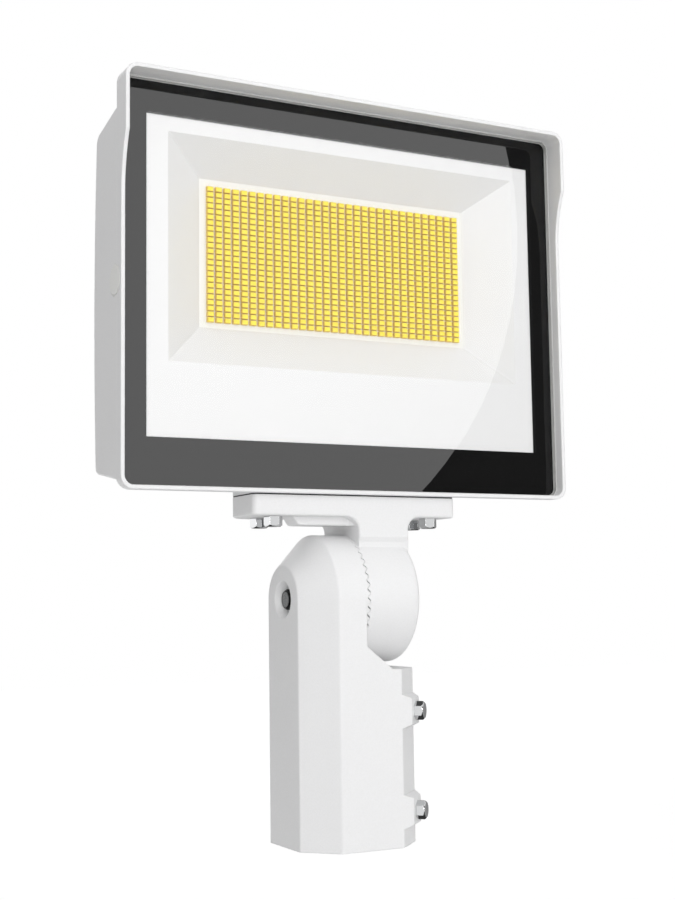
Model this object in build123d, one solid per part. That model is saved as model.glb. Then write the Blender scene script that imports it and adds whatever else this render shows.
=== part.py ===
from build123d import *
import math
import os

# White LED area light on a toothed slipfitter, in millimetres.
# +Z is up, +X is the right of the head seen from its front, and the front faces -Y.
# The origin is the centre of the socket's mouth, where the pole tenon goes in.

# Pole socket
TENON_D = 60.3
TENON_CLEARANCE = 0.35
SOCKET_DEPTH = 95.0
SOCKET_ROOF = 12.0
POST_W = 80.0
POST_CHAMFER = 19.0
POST_EDGE_R = 2.0
SHOULDER_R = 2.5

# Hex set screws on two bosses of the front right corner
BOSS_CHAMFER = 12.0
BOSS_H = 20.5
BOSS_DRAFT = 2.2
BOSS_EDGE_R = 1.2
SET_SCREW_D = 6.0
SET_SCREW_LOW_Z = 21.0
SET_SCREW_PITCH = 60.0
SET_SCREW_HEAD_H = 5.8
SCREW_TIP_GAP = 0.8
HEX_AF = 10.0
HEX_H = 6.5
HEX_CHAMFER = 1.1
HOLE_CLEARANCE = 0.1

# Toothed knuckle
KNUCKLE_GAP = 3.0
SEAM_X = -0.6
FACE_STEP = 1.8
TEETH = 48
TOOTH_H = 1.8
TOOTH_FLAT = 0.19
TOOTH_RING_W = 10.0
TOOTH_GAP = 0.12
TOOTH_SLOT = 0.75
RAMP_RUN = 17.4
RAMP_RISE = 14.0
SCOOP_CLEARANCE = 1.0

# Pivot bolt, nut and washers
PIVOT_D = 6.35
PIVOT_AF = 11.1
PIVOT_HEAD_H = 4.1
PIVOT_NUT_H = 5.6
PIVOT_HEAD_SINK = 1.9
PIVOT_END_SINK = 2.0
WASHER_D = 16.0
WASHER_T = 1.6
SPRING_WASHER_T = 2.0
RUNNING_CLEARANCE = 0.08
SPLIT_W = 1.0
DISH_D = 23.0
DISH_FLOOR_D = 15.6
DISH_LIP_R = 1.2
NUT_POCKET_D = 24.0
NUT_GAP = 0.15

# Wire way through the knuckle
WIRE_HOLE_D = 11.0
WIRE_RING_R = 22.0
WIRE_RING_W = 13.0
WIRE_RING_DEPTH = 16.0
WIRE_EAR_X = -14.0
WIRE_ARM_X = 13.0

# Arm: disc, neck, plate and rib
ARM_W = 35.3
ARM_EDGE_R = 4.5
NECK_RISE = 10.7
NECK_BACK = 24.0
NECK_STEP = 1.2
NECK_STEP_H = 2.9
NECK_STEP_DROP = 12.7
ARCH_LEFT_R = 9.0
ARCH_RIGHT_R = 8.0
PLATE_L = 141.8
PLATE_MID_X = 0.5
PLATE_FRONT = 25.5
PLATE_BACK = 22.0
PLATE_T = 12.5
PLATE_FRONT_R = 4.0
PLATE_BACK_R = 20.0
PLATE_EDGE_R = 1.5
RIB_L = 42.7
RIB_H = 5.4
RIB_SLOPE = 4.2
RIB_FRONT = 18.0
RIB_DEPTH = 15.0
RIB_END_R = 3.0
RIB_EDGE_R = 1.2
RIB_BLEND_GAP = 0.3

# Plate bolts and gasket
PLATE_BOLT_D = 6.0
PLATE_BOLT_DX = 109.7
PLATE_BOLT_MID_X = 1.7
PLATE_BOLT_DY = 20.5
PLATE_BOLT_MID_Y = -5.25
PLATE_BOLT_GRIP = 10.0
PLATE_BOLT_TURN = 15.0
GASKET_T = 0.8
GASKET_INSET = 0.4

# Head casting
HEAD_W = 311.0
HEAD_H = 249.2
RIM_WALL = 2.4
RIM_R = 8.0
RIM_PROUD = 6.1
VISOR_PROUD = 8.0
VISOR_DROP = 40.3
VISOR_SWEEP = 36.0
LEDGE_W = 6.1
FLANGE_T = 1.8
FLANGE_EDGE_R = 5.0
BODY_DEPTH = 44.5
BACK_CROWN = 4.5
ROOF_DROP = 21.8
ROOF_SLOPE = 6.2
FLOOR_RISE = 6.0
FLOOR_SLOPE = 6.4
SIDE_DRAFT = 2.0
ROOF_R = 8.0
FLOOR_R = 5.0
SIDE_R = 2.5
BOSS_BACK = 16.0
BAY_WALL = 10.0
BAY_GAP = 1.0
DRIVER_WALL = 7.8
PLATFORM_T = 5.0
FIN_PITCH = 14.0
FIN_T = 4.5
FIN_MARGIN = 12.0
FIN_FOOT = 6.0

# Front glass, its print and its seal
GLASS_BACK_Y = -21.4
GLASS_T = 3.2
GLASS_GAP = 0.6
ENAMEL_T = 0.2
ENAMEL_INSET = 0.4
SEAL_T = 1.2
SEAL_W = 3.0
SEAL_LIP_DROP = 0.7
BORDER_SIDE = 16.4
BORDER_TOP = 20.9
BORDER_BOTTOM = 29.2

# Reflector
REFLECTOR_T = 1.0
REFLECTOR_GAP = 0.4
RECESS_MID_X = 0.6
RECESS_DEPTH = 19.8
RECESS_SIDE = 13.3
RECESS_TOP = 9.2
RECESS_BOTTOM = 45.4
SLOPE_SIDE = 27.6
SLOPE_TOP = 20.3
SLOPE_BOTTOM = 25.7
PILLAR_D = 8.0
PILLAR_INSET = 5.5
REFLECTOR_SCREW_D = 3.0
REFLECTOR_SCREW_HEAD_D = 5.6
REFLECTOR_SCREW_L = 9.0

# Emitter board
BOARD_T = 1.6
BOARD_MARGIN = 14.0
BOARD_GAP = 0.1
PAD_T = 0.4
PAD_INSET = 1.0
LED_COLUMNS = 32
LED_MARGIN_X = 4.05
LED_MARGIN_TOP = 4.8
LED_MARGIN_BOTTOM = 3.5
LED_GAP_X = 1.45
LED_H = 2.5
BOARD_SCREW_D = 3.0
BOARD_SCREW_HEAD_D = 5.6
BOARD_SCREW_HEAD_H = 1.8
BOARD_SCREW_INSET = 4.5
BOARD_SCREW_GRIP = 4.0
CONNECTOR_W = 11.0
CONNECTOR_H = 5.0
CONNECTOR_T = 4.0
CONNECTOR_X = 33.0

# LED driver and what enters its bay
DRIVER_L = 150.0
DRIVER_H = 46.0
DRIVER_T = 24.0
DRIVER_X = -10.0
DRIVER_LIFT = 9.0
DRIVER_EDGE_R = 2.0
DRIVER_LID_T = 1.5
DRIVER_EAR_L = 12.0
DRIVER_EAR_T = 2.0
DRIVER_SCREW_D = 4.0
DRIVER_SCREW_HEAD_D = 7.5
DRIVER_SCREW_HEAD_H = 2.6
DRIVER_SCREW_GRIP = 3.0
LEAD_D = 2.0
LEAD_PITCH = 5.0
GROUND_SCREW_INSET = 32.0
GROMMET_D = 16.0
GROMMET_WALL = 2.5
GROMMET_FLANGE_D = 22.0
GROMMET_FLANGE_T = 2.0

# Round cap in a shallow recess of the left wall
CAP_D = 17.8
CAP_T = 1.0
CAP_EDGE_R = 0.3
CAP_ROOM = 0.7
CAP_TOUCH = 0.05
CAP_LEAN = 30.0
CAP_BACK = 0.8
CAP_BELOW_MID = 1.8

# Places that follow from the sizes above, from the pole upwards
POST_HALF = POST_W / 2
SOCKET_R = TENON_D / 2 + TENON_CLEARANCE
SHOULDER_Z = SOCKET_DEPTH + SOCKET_ROOF
KNUCKLE_R = POST_HALF
TOOTH_RING_R = KNUCKLE_R - TOOTH_RING_W
PIVOT_Z = SHOULDER_Z + KNUCKLE_GAP + KNUCKLE_R
EAR_FACE_X = SEAM_X - FACE_STEP
ARM_FACE_X = SEAM_X + FACE_STEP
ARM_END_X = ARM_FACE_X + ARM_W
PLATE_Z0 = PIVOT_Z + KNUCKLE_R + NECK_RISE
PLATE_Z1 = PLATE_Z0 + PLATE_T
NECK_STEP_Z = PLATE_Z0 - NECK_STEP_DROP - NECK_STEP_H
RIB_BLEND_R = PLATE_FRONT - PLATE_EDGE_R - RIB_FRONT - RIB_BLEND_GAP
HEAD_Z0 = PLATE_Z1 + GASKET_T
HEAD_Z1 = HEAD_Z0 + HEAD_H
HEAD_MID_Z = (HEAD_Z0 + HEAD_Z1) / 2
HEAD_HALF = HEAD_W / 2

# Depths of the head, from the visor's edge to the back
GLASS_FRONT_Y = GLASS_BACK_Y - GLASS_T
RIM_FRONT_Y = GLASS_FRONT_Y - RIM_PROUD
VISOR_FRONT_Y = RIM_FRONT_Y - VISOR_PROUD
ENAMEL_BACK_Y = GLASS_BACK_Y + ENAMEL_T
LEDGE_Y = ENAMEL_BACK_Y + SEAL_T
FLANGE_BACK_Y = LEDGE_Y + FLANGE_T
PANEL_FRONT_Y = LEDGE_Y - REFLECTOR_T
RECESS_FLOOR_Y = PANEL_FRONT_Y + RECESS_DEPTH
BOARD_FRONT_Y = RECESS_FLOOR_Y + BOARD_GAP
BOARD_BACK_Y = BOARD_FRONT_Y + BOARD_T
PLATFORM_Y = BOARD_BACK_Y + PAD_T
FIN_ROOT_Y = PLATFORM_Y + PLATFORM_T
BACK_Y = FLANGE_BACK_Y + BODY_DEPTH
DRIVER_BAY_Y = BACK_Y - DRIVER_WALL

# Openings of the head, across and up
RIM_IN_HALF = HEAD_HALF - RIM_WALL
RIM_IN_Z0 = HEAD_Z0 + RIM_WALL
RIM_IN_Z1 = HEAD_Z1 - RIM_WALL
RIM_IN_R = RIM_R - RIM_WALL
WINDOW_HALF = RIM_IN_HALF - BORDER_SIDE
WINDOW_Z0 = RIM_IN_Z0 + BORDER_BOTTOM
WINDOW_Z1 = RIM_IN_Z1 - BORDER_TOP
RECESS_HALF = WINDOW_HALF - RECESS_SIDE
RECESS_Z0 = WINDOW_Z0 + RECESS_BOTTOM
RECESS_Z1 = WINDOW_Z1 - RECESS_TOP
FLOOR_HALF = RECESS_HALF - SLOPE_SIDE
FLOOR_Z0 = RECESS_Z0 + SLOPE_BOTTOM
FLOOR_Z1 = RECESS_Z1 - SLOPE_TOP
BOARD_X0 = RECESS_MID_X - FLOOR_HALF - BOARD_MARGIN
BOARD_X1 = RECESS_MID_X + FLOOR_HALF + BOARD_MARGIN
BOARD_Z0 = FLOOR_Z0 - BOARD_MARGIN
BOARD_Z1 = FLOOR_Z1 + BOARD_MARGIN
BAY_HALF = RIM_IN_HALF - LEDGE_W
BAY_FLOOR_Z = HEAD_Z0 + FLOOR_RISE + BAY_WALL
ROOF_Z = HEAD_Z1 - ROOF_DROP
BAY_ROOF_Z = RECESS_Z1 + REFLECTOR_T + BAY_GAP
GROUND_SCREW_X = BAY_HALF - GROUND_SCREW_INSET
PLATFORM_Z0 = BOARD_Z0 - BOARD_SCREW_INSET
WIRE_Y = 0.0
OVERSHOOT = 5.0


def slab(x0, x1, y0, y1, z0, z1):
    """Block between two opposite corners."""
    centre = Pos((x0 + x1) / 2, (y0 + y1) / 2, (z0 + z1) / 2)
    return centre * Box(x1 - x0, y1 - y0, z1 - z0)


def rod(radius, start, direction, length):
    """Round rod from a start point along a direction."""
    plane = Plane(origin=start, z_dir=direction)
    return plane * Cylinder(radius, length, align=(Align.CENTER, Align.CENTER, Align.MIN))


def upright_plate(half, z0, z1, radius, y0, y1):
    """Plate that faces the front, with rounded corners, between two depths."""
    outline = Plane(origin=(0, y0, (z0 + z1) / 2), x_dir=(1, 0, 0), z_dir=(0, 1, 0))
    return extrude(outline * RectangleRounded(2 * half, z1 - z0, radius), y1 - y0)


def side_profile(points):
    """Closed outline in the YZ plane, from (y, z) pairs, at x = 0."""
    plane = Plane(origin=(0, 0, 0), x_dir=(0, 1, 0), z_dir=(1, 0, 0))
    return plane * make_face(Polyline(*points, close=True))


def front_profile(points, y):
    """Closed outline in the XZ plane, from (x, z) pairs, at depth y and facing back."""
    plane = Plane(origin=(0, y, 0), x_dir=(1, 0, 0), z_dir=(0, -1, 0))
    return plane * make_face(Polyline(*points, close=True))


def octagon():
    """Square of the post with its four corners cut off and all edges rounded."""
    flat = POST_HALF - POST_CHAMFER
    quarter = [(POST_HALF, -flat), (POST_HALF, flat), (flat, POST_HALF), (-flat, POST_HALF)]
    face = make_face(Polyline(*quarter, *[(-x, -y) for x, y in quarter], close=True))
    return fillet(face.vertices(), POST_EDGE_R)


def hex_screw(across_flats, head_h, shank_d, shank_l):
    """Hex screw along +Z: its head stands on z = 0 and its shank hangs below."""
    corner_r = across_flats / math.sqrt(3)
    turned = Cylinder(corner_r, head_h, align=(Align.CENTER, Align.CENTER, Align.MIN))
    turned = chamfer(turned.edges().group_by(Axis.Z)[-1], HEX_CHAMFER)
    head = extrude(RegularPolygon(across_flats / 2, 6, major_radius=False), head_h) & turned
    return head + rod(shank_d / 2, (0, 0, 0), (0, 0, -1), shank_l)


def pan_screw(head_d, head_h, shank_d, shank_l):
    """Pan-head screw along +Z: its bevelled head stands on z = 0 and its shank hangs below."""
    head = Cylinder(head_d / 2, head_h, align=(Align.CENTER, Align.CENTER, Align.MIN))
    head = chamfer(head.edges().group_by(Axis.Z)[-1], head_h / 3)
    return head + rod(shank_d / 2, (0, 0, 0), (0, 0, -1), shank_l)


def facing_front(x, y, z):
    """Place for a screw whose head faces the front of the light."""
    return Plane(origin=(x, y, z), x_dir=(1, 0, 0), z_dir=(0, -1, 0))


def toothed_ring(shift_x, early_deg, base_x):
    """Ring of radial teeth about the pivot axis, from a flat base to the tooth faces.

    Each flank and each flat is a plane through one point of the axis, so the teeth grow with
    the radius and two rings with the same count mesh all over. The rising flanks come early by
    the given angle, which leaves a slot beside each tooth of the other ring.
    """
    apex = Vector(SEAM_X + shift_x, 0, PIVOT_Z)
    reach = KNUCKLE_R * 1.2
    half_height = TOOTH_H / 2 * reach / KNUCKLE_R
    pitch = 360 / TEETH
    flank = (0.5 - TOOTH_FLAT) * pitch
    turns = [(-early_deg, -half_height), (flank - early_deg, half_height), (pitch / 2, half_height),
             (pitch / 2 + flank, -half_height)]
    corners = []
    feet = []
    for tooth in range(TEETH):
        for turn, height in turns:
            angle = math.radians(tooth * pitch + turn)
            y = reach * math.cos(angle)
            z = PIVOT_Z + reach * math.sin(angle)
            corners.append(Vector(apex.X + height, y, z))
            feet.append(Vector(base_x, y, z))
    faces = [make_face(Polyline(*feet, close=True))]
    for step in range(len(corners)):
        after = (step + 1) % len(corners)
        faces.append(make_face(Polyline(apex, corners[step], corners[after], close=True)))
        wall = (corners[step], corners[after], feet[after], feet[step])
        faces.append(make_face(Polyline(*wall, close=True)))
    star = Solid(Shell([face.face() for face in faces]))
    start = (min(base_x, SEAM_X) - OVERSHOOT, 0, PIVOT_Z)
    length = abs(base_x - SEAM_X) + 2 * OVERSHOOT
    tube = rod(KNUCKLE_R, start, (1, 0, 0), length) - rod(TOOTH_RING_R, start, (1, 0, 0), length)
    return star & tube


# Directions of the set screws: square to the front right corner, and along it
CORNER_OUT = (math.sqrt(0.5), -math.sqrt(0.5), 0)
CORNER_ALONG = (math.sqrt(0.5), math.sqrt(0.5), 0)
CORNER_FACE = (POST_W - POST_CHAMFER) / math.sqrt(2)
BOSS_FACE = (POST_W - BOSS_CHAMFER) / math.sqrt(2)
SET_SCREW_ZS = [SET_SCREW_LOW_Z, SET_SCREW_LOW_Z + SET_SCREW_PITCH]
PIVOT_HEAD_X = -POST_HALF + PIVOT_HEAD_SINK + PIVOT_HEAD_H
NUT_SEAT_X = ARM_END_X - PIVOT_NUT_H - SPRING_WASHER_T - WASHER_T - PIVOT_END_SINK


def make_slipfitter():
    """Octagonal socket with a rounded ear on its left half, bosses and a toothed face."""
    body = extrude(octagon(), SHOULDER_Z)
    corner = (POST_HALF - SHOULDER_R, -POST_HALF, SHOULDER_Z - SHOULDER_R)
    sharp = slab(corner[0], POST_HALF, -POST_HALF, POST_HALF, corner[2], SHOULDER_Z)
    body -= sharp - rod(SHOULDER_R, corner, (0, 1, 0), POST_W)
    ear_room = slab(-POST_W, EAR_FACE_X, -POST_W, POST_W, 0, PIVOT_Z)
    body += extrude(octagon(), PIVOT_Z) & ear_room
    flat = POST_HALF - POST_CHAMFER
    half_ear = [(-POST_HALF, 0), (-POST_HALF, -flat), (-flat, -POST_HALF), (EAR_FACE_X, -POST_HALF),
                (EAR_FACE_X, 0)]
    section = make_face(Polyline(*half_ear, close=True))
    bends = [v for v in section.vertices() if v.X < -1 and v.Y < -1 and abs(v.X - EAR_FACE_X) > 1]
    section = Pos(0, 0, PIVOT_Z) * fillet(bends, POST_EDGE_R)
    body += revolve(section, Axis((0, 0, PIVOT_Z), (-1, 0, 0)), 180)
    ramp = [(EAR_FACE_X - OVERSHOOT, SHOULDER_Z), (EAR_FACE_X - OVERSHOOT, SHOULDER_Z + RAMP_RISE),
            (EAR_FACE_X, SHOULDER_Z + RAMP_RISE), (EAR_FACE_X + RAMP_RUN, SHOULDER_Z)]
    body += extrude(front_profile(ramp, POST_HALF), POST_W)
    scoop_r = KNUCKLE_R + SCOOP_CLEARANCE
    body -= rod(scoop_r, (EAR_FACE_X, 0, PIVOT_Z), (1, 0, 0), POST_W)
    for z in SET_SCREW_ZS:
        plane = Plane(origin=(0, 0, z), x_dir=CORNER_OUT, z_dir=CORNER_ALONG)
        root = CORNER_FACE - OVERSHOOT
        drafted = [(root, BOSS_H / 2), (CORNER_FACE, BOSS_H / 2), (BOSS_FACE, BOSS_H / 2 - BOSS_DRAFT),
                   (BOSS_FACE, BOSS_DRAFT - BOSS_H / 2), (CORNER_FACE, -BOSS_H / 2), (root, -BOSS_H / 2)]
        outline = make_face(Polyline(*drafted, close=True))
        outline = fillet(outline.vertices().group_by(Axis.X)[-1], BOSS_EDGE_R)
        wedge = extrude(plane * outline, POST_W / 2, both=True)
        body += wedge & slab(-POST_HALF, POST_HALF, -POST_HALF, POST_HALF, 0, SHOULDER_Z)
    body += toothed_ring(0, 0, EAR_FACE_X - OVERSHOOT)
    body -= rod(SOCKET_R, (0, 0, 0), (0, 0, 1), SOCKET_DEPTH)
    for z in SET_SCREW_ZS:
        body -= rod(SET_SCREW_D / 2 + HOLE_CLEARANCE, (0, 0, z), CORNER_OUT, POST_W)
    elbow_z = PIVOT_Z - WIRE_RING_R
    wire_r = WIRE_HOLE_D / 2
    body -= rod(wire_r, (WIRE_EAR_X, 0, SOCKET_DEPTH - 1), (0, 0, 1), elbow_z - SOCKET_DEPTH + 1)
    body -= Pos(WIRE_EAR_X, 0, elbow_z) * Sphere(wire_r)
    body -= rod(wire_r, (WIRE_EAR_X, 0, elbow_z), (1, 0, 0), POST_HALF)
    body -= rod(PIVOT_D / 2 + HOLE_CLEARANCE, (-POST_W, 0, PIVOT_Z), (1, 0, 0), 2 * POST_W)
    dish = Plane(origin=(-POST_HALF, 0, PIVOT_Z), z_dir=(1, 0, 0))
    depth = PIVOT_HEAD_X + POST_HALF
    body -= dish * Cone(DISH_D / 2, DISH_FLOOR_D / 2, depth, align=(Align.CENTER, Align.CENTER, Align.MIN))
    circles = body.edges().filter_by(GeomType.CIRCLE)
    return fillet([e for e in circles if abs(e.radius - DISH_D / 2) < 0.01], DISH_LIP_R)


def make_set_screws():
    """Hex screws through the bosses, with their tips just outside the tenon's space."""
    screw = hex_screw(HEX_AF, SET_SCREW_HEAD_H, SET_SCREW_D, BOSS_FACE - SOCKET_R - SCREW_TIP_GAP)
    out = Vector(*CORNER_OUT) * BOSS_FACE
    return [Plane(origin=(out.X, out.Y, z), x_dir=(0, 0, 1), z_dir=CORNER_OUT) * screw for z in SET_SCREW_ZS]


def make_pivot_bolt():
    """Bolt whose head sits in the ear's dish and whose end passes through the nut."""
    length = ARM_END_X - PIVOT_HEAD_X - PIVOT_END_SINK / 2
    bolt = hex_screw(PIVOT_AF, PIVOT_HEAD_H, PIVOT_D, length)
    return Plane(origin=(PIVOT_HEAD_X, 0, PIVOT_Z), z_dir=(-1, 0, 0)) * bolt


def pivot_ring(outer_d, thickness, x):
    """Flat ring on the pivot bolt that starts at x."""
    ring = rod(outer_d / 2, (x, 0, PIVOT_Z), (1, 0, 0), thickness)
    return ring - rod(PIVOT_D / 2 + HOLE_CLEARANCE, (x, 0, PIVOT_Z), (1, 0, 0), thickness)


def make_pivot_washer():
    """Flat washer under the spring washer, on the arm's side."""
    return pivot_ring(WASHER_D, WASHER_T, NUT_SEAT_X + NUT_GAP)


def make_pivot_spring_washer():
    """Split ring between the flat washer and the nut."""
    x = NUT_SEAT_X + NUT_GAP + WASHER_T
    split = slab(x, x + SPRING_WASHER_T, 0, PIVOT_AF, PIVOT_Z - SPLIT_W / 2, PIVOT_Z + SPLIT_W / 2)
    return pivot_ring(PIVOT_AF, SPRING_WASHER_T, x) - split


def make_pivot_nut():
    """Hex nut at the end of the pivot bolt."""
    x = NUT_SEAT_X + NUT_GAP + WASHER_T + SPRING_WASHER_T
    plane = Plane(origin=(x, 0, PIVOT_Z), z_dir=(1, 0, 0))
    nut = plane * extrude(RegularPolygon(PIVOT_AF / 2, 6, major_radius=False), PIVOT_NUT_H)
    return nut - rod(PIVOT_D / 2 + HOLE_CLEARANCE, (x, 0, PIVOT_Z), (1, 0, 0), PIVOT_NUT_H)


def plate_outline(inset):
    """Outline of the arm's plate: small corners in front, large ones behind."""
    half = PLATE_L / 2 - inset
    front = -PLATE_FRONT + inset
    back = PLATE_BACK - inset
    corners = Polyline((-half, front), (half, front), (half, back), (-half, back), close=True)
    face = make_face(corners)
    by_depth = face.vertices().sort_by(Axis.Y)
    face = fillet(by_depth[:2], PLATE_FRONT_R - inset)
    by_depth = face.vertices().sort_by(Axis.Y)
    square = [v for v in by_depth if abs(v.Y - back) < 0.01 and abs(abs(v.X) - half) < 0.01]
    return Pos(PLATE_MID_X, 0) * fillet(square, PLATE_BACK_R - inset)


PLATE_BOLT_XYS = [(PLATE_BOLT_MID_X + side * PLATE_BOLT_DX / 2, PLATE_BOLT_MID_Y + row * PLATE_BOLT_DY / 2)
                  for side in (-1, 1) for row in (-1, 1)]


def make_neck():
    """Neck from the disc to the plate, with arched sides and a step across its front."""
    top_z = PLATE_Z0 + 2 * PLATE_EDGE_R
    left = ARM_FACE_X - 2 * ARCH_LEFT_R
    right = ARM_END_X + 2 * ARCH_RIGHT_R
    outline = [(ARM_FACE_X, PIVOT_Z), (ARM_FACE_X, PLATE_Z0), (left, PLATE_Z0), (left, top_z),
               (right, top_z), (right, PLATE_Z0), (ARM_END_X, PLATE_Z0), (ARM_END_X, PIVOT_Z)]
    face = front_profile(outline, NECK_BACK)
    for x, radius in ((ARM_FACE_X, ARCH_LEFT_R), (ARM_END_X, ARCH_RIGHT_R)):
        face = fillet(face.vertices().sort_by_distance((x, NECK_BACK, PLATE_Z0))[:1], radius)
    neck = extrude(face, NECK_BACK + PLATE_FRONT)
    front = neck.edges().group_by(Axis.Y)[0]
    neck = fillet([e for e in front if PIVOT_Z < e.center().Z < PLATE_Z0 - 0.1], PLATE_EDGE_R)
    recess_y = NECK_STEP - PLATE_FRONT
    depth = [(recess_y, PIVOT_Z), (recess_y, NECK_STEP_Z), (-PLATE_FRONT, NECK_STEP_Z + NECK_STEP_H),
             (-PLATE_FRONT, top_z), (PLATE_BACK, top_z), (NECK_BACK, PIVOT_Z)]
    return neck & Pos(left, 0, 0) * extrude(side_profile(depth), right - left)


def make_rib():
    """Low rib under the plate with a sloped and rounded end, blended into the neck's left side."""
    bottom = PLATE_Z0 - RIB_H
    end = ARM_FACE_X - RIB_L
    outline = [(ARM_FACE_X + 1, bottom), (end + RIB_SLOPE, bottom), (end, PLATE_Z0 + 1),
               (ARM_FACE_X + 1, PLATE_Z0 + 1)]
    back = RIB_DEPTH - RIB_FRONT
    face = front_profile(outline, back)
    face = fillet(face.vertices().sort_by_distance((end + RIB_SLOPE, back, bottom))[:1], RIB_END_R)
    rib = extrude(face, RIB_DEPTH)
    front = rib.edges().group_by(Axis.Y)[0]
    rib = fillet([e for e in front if e.center().Z < PLATE_Z0 and e.center().X < ARM_FACE_X], RIB_EDGE_R)
    bend = (ARM_FACE_X - RIB_BLEND_R, -RIB_FRONT - RIB_BLEND_R, bottom)
    blend = slab(bend[0], ARM_FACE_X + 1, bend[1], 1 - RIB_FRONT, bottom, PLATE_Z0 + 1)
    return rib + (blend - rod(RIB_BLEND_R, bend, (0, 0, 1), RIB_H + 1))


def make_knuckle_arm():
    """Plate, offset neck with arched sides, rib, and a hollow toothed disc."""
    disc = rod(KNUCKLE_R, (ARM_FACE_X, 0, PIVOT_Z), (1, 0, 0), ARM_W)
    arm = fillet(disc.edges().group_by(Axis.X)[-1], ARM_EDGE_R)
    plate = Pos(0, 0, PLATE_Z0) * extrude(plate_outline(0), PLATE_T)
    arm += fillet(plate.edges().group_by(Axis.Z)[0], PLATE_EDGE_R)
    arm += make_neck()
    arm += make_rib()
    arm += toothed_ring(TOOTH_GAP, math.degrees(TOOTH_SLOT / KNUCKLE_R), ARM_FACE_X + OVERSHOOT)
    face = (ARM_FACE_X, 0, PIVOT_Z)
    ring = rod(WIRE_RING_R + WIRE_RING_W / 2, face, (1, 0, 0), WIRE_RING_DEPTH)
    arm -= ring - rod(WIRE_RING_R - WIRE_RING_W / 2, face, (1, 0, 0), WIRE_RING_DEPTH)
    ring_top = PIVOT_Z + WIRE_RING_R
    arm -= rod(WIRE_HOLE_D / 2, (WIRE_ARM_X, WIRE_Y, ring_top), (0, 0, 1), PLATE_Z1 - ring_top)
    arm -= rod(PIVOT_D / 2 + RUNNING_CLEARANCE, face, (1, 0, 0), ARM_W)
    arm -= rod(NUT_POCKET_D / 2, (NUT_SEAT_X, 0, PIVOT_Z), (1, 0, 0), ARM_W)
    for x, y in PLATE_BOLT_XYS:
        arm -= rod(PLATE_BOLT_D / 2 + HOLE_CLEARANCE, (x, y, PLATE_Z0), (0, 0, 1), PLATE_T)
    return arm


def make_plate_bolts():
    """Hex bolts from below, through plate and gasket into the head's boss."""
    bolt = hex_screw(HEX_AF, HEX_H, PLATE_BOLT_D, PLATE_T + GASKET_T + PLATE_BOLT_GRIP)
    turn = math.radians(PLATE_BOLT_TURN)
    along = (math.cos(turn), -math.sin(turn), 0)
    return [Plane(origin=(x, y, PLATE_Z0), x_dir=along, z_dir=(0, 0, -1)) * bolt for x, y in PLATE_BOLT_XYS]


def boss_section(inset):
    """Plate's outline, cut off where the head's floor ends."""
    room = Pos(0, BOSS_BACK - inset - POST_W, 0) * Rectangle(2 * PLATE_L, 2 * POST_W)
    return plate_outline(inset) & room


def make_mount_gasket():
    """Rubber sheet between the plate and the head's boss, with holes for bolts and wires."""
    sheet = Pos(0, 0, PLATE_Z1) * extrude(boss_section(GASKET_INSET), GASKET_T)
    for x, y in PLATE_BOLT_XYS:
        sheet -= rod(PLATE_BOLT_D / 2 + GASKET_INSET, (x, y, PLATE_Z1), (0, 0, 1), GASKET_T)
    return sheet - rod(GROMMET_D / 2, (WIRE_ARM_X, WIRE_Y, PLATE_Z1), (0, 0, 1), GASKET_T)


def make_rim():
    """Frame of the head's front: a thin raised wall that sweeps forward into a visor."""
    rim = upright_plate(HEAD_HALF, HEAD_Z0, HEAD_Z1, RIM_R, VISOR_FRONT_Y, FLANGE_BACK_Y)
    rim = fillet(rim.edges().group_by(Axis.Y)[-1], FLANGE_EDGE_R)
    visor_z = HEAD_Z1 - VISOR_DROP
    sweep_z = visor_z - VISOR_SWEEP
    front_y = VISOR_FRONT_Y - OVERSHOOT
    sweep_r = (VISOR_SWEEP ** 2 + VISOR_PROUD ** 2) / (2 * VISOR_PROUD)
    sweep = slab(-HEAD_W, HEAD_W, RIM_FRONT_Y - sweep_r, RIM_FRONT_Y, sweep_z, visor_z)
    bow = rod(sweep_r, (-HEAD_W, RIM_FRONT_Y - sweep_r, sweep_z), (1, 0, 0), 2 * HEAD_W)
    rim -= sweep & bow
    rim -= slab(-HEAD_W, HEAD_W, front_y, RIM_FRONT_Y, HEAD_Z0 - OVERSHOOT, sweep_z)
    return rim


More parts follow.
